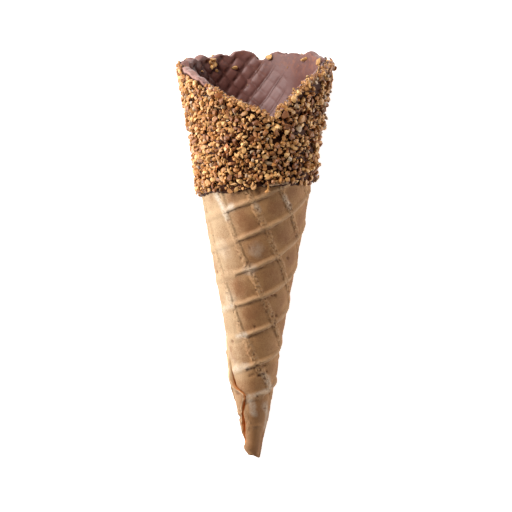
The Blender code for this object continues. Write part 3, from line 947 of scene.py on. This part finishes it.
SKIN_COUNT = 46
some = random.choice(all_nuts.shape[1], SKIN_COUNT, replace=False)
skin_places = all_nuts[:, some].copy()
skin_places[3] = 1.3 * MM * random.uniform(0.5, 1.0, SKIN_COUNT)
skin_places[4] = random.uniform(0.8 * MM, 1.5 * MM, SKIN_COUNT)
shapes, faces = chunks(20, 2, random, (1.3, 0.8, 0.16), 0.5)
nut_pieces["nut_skins"] = set_pieces("nut_skins", skin_places, shapes, faces, radians(65), random)

round_points, round_faces = ball(4)
x, y, z = round_points.T
width = between(1.6, 0.36, smooth(-0.95, -0.4, y))
curl = np.stack([width * x + 0.55 * sin(0.6) - 0.75 * y**2, 2.4 * y, 0.8 * width * z + 0.35 * y**2], axis=-1)
flake = np.stack([2.3 * x, (0.45 + 0.12 * np.sin(4 * x)) * y + 0.25 * np.sin(3 * x), 0.1 * z + 0.18 * np.sin(5 * x + 2 * y)], axis=-1)
curl_place = at_azimuth((11.8,), (105.2,), (0.9,), (1.0,))
flake_place = at_azimuth((18.0, 29.0), (105.9, 106.3), (1.1, 1.0), (1.0, 0.75))
nut_pieces["nut_curl"] = set_pieces("nut_curl", curl_place, (curl * MM)[None], round_faces, 0, random)
nut_pieces["nut_flakes"] = set_pieces("nut_flakes", flake_place, (flake * MM)[None], round_faces, 0, random)

# %% [markdown]
# ## Building finishes
#
# A finish is a tree of nodes, and wiring one by hand hides what it computes. Two small classes turn it into sums:
# `Value` stands for the socket that a node puts out, and adding or multiplying it adds a Math node. `Finish` holds
# the material, and its `add` makes any other node. Masks such as `rib` were stored on the meshes when they were
# shaped, so paint and relief can't drift apart.


# %% Values and finishes
class Value:
    """What a node puts out. A sum on it adds a Math node."""

    def __init__(self, finish, socket):
        self.finish, self.socket = finish, socket

    def math(self, operation, one, other):
        return self.finish.add("ShaderNodeMath", {"operation": operation}, {0: one, 1: other})

    def __add__(self, other):
        return self.math("ADD", self, other)

    def __sub__(self, other):
        return self.math("SUBTRACT", self, other)

    def __rsub__(self, other):
        return self.math("SUBTRACT", other, self)

    def __mul__(self, other):
        return self.math("MULTIPLY", self, other)

    def __pow__(self, other):
        return self.math("POWER", self, other)

    def most(self, other):
        return self.math("MAXIMUM", self, other)

    def between(self, low, high):
        """0 below low, 1 above high, and a smooth rise between them. The two can come in either order."""
        limits = {"Value": self, "From Min": low, "From Max": high}
        return self.finish.add("ShaderNodeMapRange", {"interpolation_type": "SMOOTHSTEP"}, limits)

    __radd__ = __add__
    __rmul__ = __mul__


class Finish:
    """A material with one Principled shader, whose constants are set first."""

    def __init__(self, name, **constants):
        self.material = bpy.data.materials.new(name)
        self.material.use_nodes = True
        self.nodes = self.material.node_tree.nodes
        self.links = self.material.node_tree.links
        self.shader = self.nodes["Principled BSDF"]
        for socket, value in constants.items():
            self.shader.inputs[socket.replace("_", " ").title().replace("Ior", "IOR")].default_value = value

    def set(self, socket, value):
        if isinstance(value, Value):
            self.links.new(value.socket, socket)
        elif isinstance(value, tuple) and len(value) == 3 and socket.type == "RGBA":
            socket.default_value = (*value, 1.0)
        else:
            socket.default_value = value

    def add(self, kind, settings, sockets, out=0):
        """A node of that kind: its settings, then the values or links of its sockets. Gives back one output."""
        node = self.nodes.new(kind)
        for setting, value in settings.items():
            setattr(node, setting, value)
        for name, value in sockets.items():
            self.set(node.inputs[name], value)
        return Value(self, node.outputs[out])

    def mask(self, name):
        """A number that was painted on the mesh."""
        return self.add("ShaderNodeAttribute", {"attribute_name": name}, {}, "Fac")

    def places(self):
        return self.add("ShaderNodeTexCoord", {}, {}, "Object")

    def noise(self, size, detail=2.0, roughness=0.5, seed=0.0):
        """Noise around 0.5, with lumps of that size."""
        sockets = {"Vector": self.places(), "W": seed, "Scale": 1 / size, "Detail": detail, "Roughness": roughness}
        return self.add("ShaderNodeTexNoise", {"noise_dimensions": "4D"}, sockets, "Fac")

    def cells(self, size, seed=0.0):
        """Distance from the nearest of many scattered points, as a share of that size."""
        sockets = {"Vector": self.places(), "W": seed, "Scale": 1 / size}
        return self.add("ShaderNodeTexVoronoi", {"voronoi_dimensions": "4D"}, sockets, "Distance")

    def mix(self, one, other, share, way="MIX"):
        """One colour turning into the other."""
        settings = {"data_type": "RGBA", "blend_type": way}
        return self.add("ShaderNodeMix", settings, {0: share, 6: one, 7: other}, 2)

    def finish(self, colour, roughness, relief, depth):
        """Colour and roughness into the shader, and the relief, whose 1 stands that many metres high, as a bump."""
        self.set(self.shader.inputs["Base Color"], colour)
        self.set(self.shader.inputs["Roughness"], roughness)
        bump = self.add("ShaderNodeBump", {}, {"Height": relief, "Distance": depth, "Strength": 1.0})
        self.set(self.shader.inputs["Normal"], bump)
        print(self.material.name, "has", len(self.nodes), "nodes")
        return self.material


# %% [markdown]
# ## The wafer's finish
#
# Baked batter is tan, browner where it lay thick and hot, and paler on the ribs, which cooled in the grooves of
# the iron. Flour shows as whitish dust at the crossings. Burst bubbles leave pores that are too fine for the mesh,
# so they are a bump with a darker colour in them. The thin dark line under each whole rib is painted shadow, on a
# shallow bump groove. The left side is paler, partly from the baking and partly as painted light from the low lamp
# on the left. The slit takes a lit orange-brown and a faint glow: painted light shining through the thin wafer.

# %% Bake the wafer
CRUST = (0.355, 0.176, 0.066)
TOAST = (0.225, 0.092, 0.030)
PALE_AND_LIT = (0.44, 0.305, 0.175)
RIB_CREAM = (0.47, 0.285, 0.145)
DUST = (0.60, 0.52, 0.42)
PORE = (0.15, 0.058, 0.020)
CRUMB = (0.66, 0.47, 0.28)
# The two slit colours below are painted light: the lit colour and the glow of light shining through the thin wafer into
# the slit.
SLIT_GLOW_BROWN = (0.46, 0.155, 0.034)
SLIT_GLOW = (0.105, 0.030, 0.007)
TIP_BROWN = (0.205, 0.083, 0.024)


def baked_wafer():
    made = Finish("baked_wafer", specular_ior_level=0.35)
    rib, near_rib, off_rib, rough = (made.mask(name) for name in ("rib", "near_rib", "off_rib", "rough"))
    crack, pit, cell, dust = (made.mask(name) for name in ("crack", "pit", "cell", "dust"))
    slit, torn, pale_side, low = (made.mask(name) for name in ("slit", "torn", "pale_side", "low"))
    clouds = made.noise(10 * MM, 3.0, 0.6, 1.0)
    speckle = made.noise(0.5 * MM, 3.0, 0.7, 2.0)
    # The paler left side is partly from the baking and partly painted light from the low lamp on the left.
    toasted = (clouds * 0.6 + speckle * 0.35 + cell * 0.12 - pale_side * 0.05).between(0.44, 0.70)
    colour = made.mix(made.mix(CRUST, PALE_AND_LIT, pale_side * (0.85 - 0.6 * low)), TOAST, toasted)
    colour = made.mix(colour, TIP_BROWN, low * 0.62)
    colour = made.mix(colour, RIB_CREAM, rib * (0.3 + 0.6 * made.noise(2.5 * MM, 2.0, 0.5, 3.0)))
    colour = made.mix(colour, RIB_CREAM, rough * made.noise(0.9 * MM, 2.0, 0.6, 14.0).between(0.42, 0.62) * 0.45)
    colour = made.mix(colour, DUST, dust * made.noise(0.8 * MM, 3.0, 0.6, 5.0).between(0.0, 0.85))
    fine = made.noise(0.35 * MM, 3.0, 0.65, 13.0)
    colour = made.mix(colour, PORE, fine.between(0.48, 0.75) * 0.55)
    pores = (1 - made.cells(0.7 * MM, 6.0).between(0.10, 0.30)) * made.noise(2.5 * MM, 2.0, 0.5, 7.0).between(0.46, 0.6)
    patchy = made.noise(2.2 * MM, 2.0, 0.5, 10.0).between(0.38, 0.55)
    burst = (1 - made.cells(0.8 * MM, 9.0).between(0.16, 0.34)) * rough * patchy
    # Painted shadow: a thin dark line just under each whole rib, on a shallow bump groove.
    line = off_rib.between(-1.15, -0.85) * (1 - off_rib.between(-0.72, -0.45)) * near_rib
    line = line * made.noise(3.0 * MM, 2.0, 0.5, 12.0).between(0.35, 0.6)
    colour = made.mix(colour, PORE, (pores * 0.45).most(burst * 0.8).most(pit * 0.75).most(line * 0.5).most(crack * 0.3))
    colour = made.mix(colour, CRUMB, torn * 0.8)
    # Painted light: the slit takes a lit orange-brown, for light shining through the thin wafer.
    colour = made.mix(colour, SLIT_GLOW_BROWN, slit)
    grit = made.noise(0.22 * MM, 2.0, 0.6, 8.0)
    blisters = made.noise(0.9 * MM, 2.0, 0.6, 11.0) * rough
    relief = speckle * 0.8 + grit * 0.4 + fine * 0.6 + blisters * 2.6 - pores * 0.9 - burst * 2.6 - line * 1.2
    # Painted light: the slit glows a little, for light shining through the thin wafer, less near the tip.
    made.set(made.shader.inputs["Emission Color"], made.mix((0.0, 0.0, 0.0), SLIT_GLOW, slit * (1 - 0.75 * low)))
    made.set(made.shader.inputs["Emission Strength"], 1.0)
    return made.finish(colour, 0.75 - 0.15 * rib, relief, 0.2 * MM)


wafer.data.materials.append(baked_wafer())

# %% [markdown]
# ## The chocolate's finish
#
# Compound chocolate sets with a satin skin: brown with a breath of mauve, a little cloudy, and never a mirror. Where
# it is thin, on the rim's edges, the wafer shines through and it turns reddish. Between the nuts it looks darker.
# Right of the back, the lining is painted lighter and greyer: partly bloom, partly painted sheen where it faces the
# light. The front of the rim's bead is painted lighter as a painted highlight, and the lining's grooves are painted
# darker as painted shade.

# %% Set the chocolate
COCOA = (0.152, 0.055, 0.042)
COCOA_CLOUD = (0.195, 0.082, 0.066)
COCOA_DARK = (0.050, 0.016, 0.008)
COCOA_THIN = (0.30, 0.10, 0.045)
# The lip colour is a painted highlight, and the bloom colour below it is partly painted sheen.
COCOA_LIP_HIGHLIGHT = (0.34, 0.175, 0.14)
COCOA_BLOOM_AND_SHEEN = (0.27, 0.14, 0.125)


def satin_chocolate():
    made = Finish("satin_chocolate", specular_ior_level=0.45)
    thin, lip, bloom = map(made.mask, ("thin", "lip", "bloom"))
    off_groove, sharp, groove = map(made.mask, ("off_groove", "sharp", "groove"))
    clouds = made.noise(6 * MM, 3.0, 0.55, 1.0)
    colour = made.mix(COCOA, COCOA_CLOUD, clouds.between(0.4, 0.65))
    # Partly bloom, partly painted sheen: the panel right of the back is painted lighter and greyer.
    colour = made.mix(colour, COCOA_BLOOM_AND_SHEEN, bloom * (0.25 + 0.5 * clouds))
    streaks = made.noise(1.3 * MM, 2.0, 0.5, 2.0).between(0.48, 0.66)
    colour = made.mix(colour, COCOA_THIN, thin * streaks * 0.7)
    # Painted highlight: the front of the rim's bead is painted lighter and pinker.
    colour = made.mix(colour, COCOA_LIP_HIGHLIGHT, lip * made.noise(1.6 * MM, 2.0, 0.5, 6.0).between(0.3, 0.6))
    # Painted shade: the grooves are darkened, with a darker line along each long groove on a bump groove.
    line = off_groove.between(-0.5, 0.0) * (1 - off_groove.between(0.0, 0.5)) * sharp
    colour = made.mix(colour, COCOA_DARK, (line * 0.5).most(groove.between(0.2, 0.9) * 0.4))
    relief = made.noise(1.1 * MM, 3.0, 0.5, 3.0) + 0.25 * made.noise(0.3 * MM, 2.0, 0.5, 4.0) - line * 3.0
    return made.finish(colour, 0.42 + 0.18 * clouds, relief, 0.07 * MM)


def dark_dip():
    made = Finish("dark_dip", specular_ior_level=0.06)
    clouds = made.noise(1.5 * MM, 3.0, 0.55, 5.0)
    colour = made.mix(COCOA_DARK, COCOA, clouds.between(0.5, 0.75) * 0.2)
    return made.finish(colour, 0.35 + 0.25 * clouds, clouds, 0.12 * MM)


chocolate.data.materials.append(satin_chocolate())
chocolate.data.materials.append(dark_dip())
dip_faces = np.zeros(len(chocolate.data.polygons), np.int32)
dip_faces[(first_dip_ring + 1) * CHOCOLATE_COLUMNS:(first_dip_ring + 84) * CHOCOLATE_COLUMNS] = 1
chocolate.data.polygons.foreach_set("material_index", dip_faces)

# %% [markdown]
# ## The nuts' finishes
#
# Roasted nuts are golden on their cut faces, brown on what was near the skin, and here and there a piece is
# glassy with oil. All kinds share one recipe with other colours: a light and a dark colour that each chunk mixes
# for itself, a grain finer than the chunk, and chocolate smeared over its foot.

# %% Roast the nuts
NUT_COLOURS = {  # light, dark, roughness
    "nuts_golden": ((0.74, 0.42, 0.158), (0.44, 0.19, 0.052), 0.45),
    "nuts_roasted": ((0.48, 0.20, 0.056), (0.22, 0.075, 0.022), 0.45),
    "nuts_glassy": ((0.46, 0.31, 0.18), (0.30, 0.17, 0.085), 0.3),
    "nut_slivers": ((0.58, 0.30, 0.10), (0.28, 0.105, 0.032), 0.5),
    "nut_crumbs": ((0.56, 0.29, 0.10), (0.28, 0.11, 0.034), 0.55),
    "nut_strays": ((0.76, 0.43, 0.16), (0.54, 0.26, 0.085), 0.45),
    "nut_skins": ((0.46, 0.15, 0.035), (0.26, 0.08, 0.022), 0.4),
    "nut_curl": ((0.62, 0.32, 0.10), (0.50, 0.22, 0.055), 0.4),
    "nut_flakes": ((0.36, 0.22, 0.12), (0.26, 0.15, 0.08), 0.75),
}


def chopped_nut(name, light, dark, roughness):
    made = Finish(name, specular_ior_level=0.45)
    tint, sunk = made.mask("tint"), made.mask("sunk")
    grain = made.noise(0.7 * MM, 3.0, 0.6, 1.0)
    colour = made.mix(light, dark, (tint * 0.8 + grain * 0.5).between(0.2, 1.0))
    smear = (sunk + 0.5 * made.noise(0.8 * MM, 2.0, 0.5, 2.0)).between(0.6, 1.2)
    colour = made.mix(colour, COCOA_DARK, smear)
    relief = grain + 0.4 * made.noise(0.2 * MM, 2.0, 0.5, 3.0)
    return made.finish(colour, roughness + 0.2 * grain - 0.1, relief, 0.12 * MM)


for name, piece in nut_pieces.items():
    piece.data.materials.append(chopped_nut(name + "_roast", *NUT_COLOURS[name]))

# %% [markdown]
# ## The floor
#
# Food on a pure white ground is usually laid on a lit sheet of white acrylic. It takes the edge off the shadows and
# throws light up at the sides of the object. So the floor here is a plain pale sheet that glows a little itself.

# %% Lay the floor
FLOOR_SIZE = 6.0
FLOOR_DROP = 0.1 * MM
FLOOR_GLOW = 0.85


def white_acrylic():
    made = Finish("white_acrylic", base_color=(0.86, 0.86, 0.86, 1.0), roughness=0.8, specular_ior_level=0.1)
    made.set(made.shader.inputs["Emission Color"], (1.0, 1.0, 1.0))
    made.set(made.shader.inputs["Emission Strength"], FLOOR_GLOW)
    return made.material


half = FLOOR_SIZE / 2
corners = np.array([(-half, -half, -FLOOR_DROP), (half, -half, -FLOOR_DROP), (half, half, -FLOOR_DROP), (-half, half, -FLOOR_DROP)])
floor = add_mesh("floor", corners, [np.array([[0, 1, 2, 3]])])
floor.data.materials.append(white_acrylic())
print("the floor is", FLOOR_SIZE, "m wide")

# %% [markdown]
# ## The lights
#
# A long softbox low on the left rakes across the nuts and makes the left edge pale. A large soft window, high on
# the side of the mouth, lights the ribs from above and reaches into the mouth. A weak one from the right keeps the
# shaded side open. Each lamp is placed by its direction, so its angle can be changed without working out a place.

# %% Hang the lamps
LAMP_DISTANCE = 0.9
LAMPS = (  # name, direction going from the left over the mouth's side, height angle, width, watts
    ("softbox_left", 0, 7, 0.30, 9.3),
    ("window_mouth", 42, 42, 0.45, 11.0),
    ("fill_right", 180, 10, 0.30, 4.9),
)
WORLD_LIGHT = 0.05


def hang(name, bearing, rise, width, watts):
    data = bpy.data.lights.new(name, "AREA")
    data.size, data.energy = width, watts
    lamp = bpy.data.objects.new(name, data)
    bpy.context.scene.collection.objects.link(lamp)
    toward = Vector((-cos(bearing) * cos(rise), sin(bearing) * cos(rise), sin(rise)))
    lamp.location = middle + toward * LAMP_DISTANCE
    lamp.rotation_euler = toward.to_track_quat("Z", "Y").to_euler()
    print(name, "at", [round(value, 2) for value in lamp.location])


middle = (cad_low + cad_high) / 2
for name, bearing, rise, width, watts in LAMPS:
    hang(name, radians(bearing), radians(rise), width, watts)
world = bpy.data.worlds.new("pale_room")
world.use_nodes = True
world.node_tree.nodes["Background"].inputs["Color"].default_value = (1.0, 1.0, 1.0, 1.0)
world.node_tree.nodes["Background"].inputs["Strength"].default_value = WORLD_LIGHT
bpy.context.scene.world = world

# %% [markdown]
# ## The camera
#
# The cone was shot with a long lens from almost straight across its side, tipped a little towards its point, so the
# sides hardly converge and one looks a little way into the mouth. The tilt is counted from the cone's axis, so it
# stays true however the cone lies.

# %% Set the camera
LENS = 300
SENSOR = 36
TIP_TILT = radians(4.0) - HALF_ANGLE  # of the view against straight down
ROLL = radians(0.3)
SEEN_WIDTH = 196 * MM
LOOKED_AT = (0.6 * MM, -1.9 * MM, 15 * MM)  # to the right, up the picture, and above the floor

toward = Vector((0, sin(TIP_TILT), cos(TIP_TILT)))
upward = Vector((0, cos(TIP_TILT), -sin(TIP_TILT)))
camera_data = bpy.data.cameras.new("camera")
camera_data.lens, camera_data.sensor_width = LENS, SENSOR
camera = bpy.data.objects.new("camera", camera_data)
bpy.context.scene.collection.objects.link(camera)
bpy.context.scene.camera = camera
looked_at = Vector((LOOKED_AT[0], 0, LOOKED_AT[2])) + upward * LOOKED_AT[1]
camera.location = looked_at + toward * SEEN_WIDTH * LENS / SENSOR
turned = toward.to_track_quat("Z", "Y").to_matrix() @ Matrix.Rotation(ROLL, 3, "Z")
camera.rotation_euler = turned.to_euler()
bpy.context.scene.view_settings.view_transform = "Standard"
print("the camera stands", round(camera.location.z, 2), "m above the floor")

# %% [markdown]
# ## Handing over
# Every piece rides on the one body and stands for its imported solid, which is hidden. The sizes of
# both models are written down, so they can be compared.

# %% Attach the pieces
STANDS_FOR = [(wafer, "wafer", "wafer_cone"), (chocolate, "chocolate", "chocolate_coating")]
STANDS_FOR += [(piece, "nuts", "chopped_nuts") for piece in nut_pieces.values()]
for piece, slot, node in STANDS_FOR:
    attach(piece, "root")
    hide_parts(node)
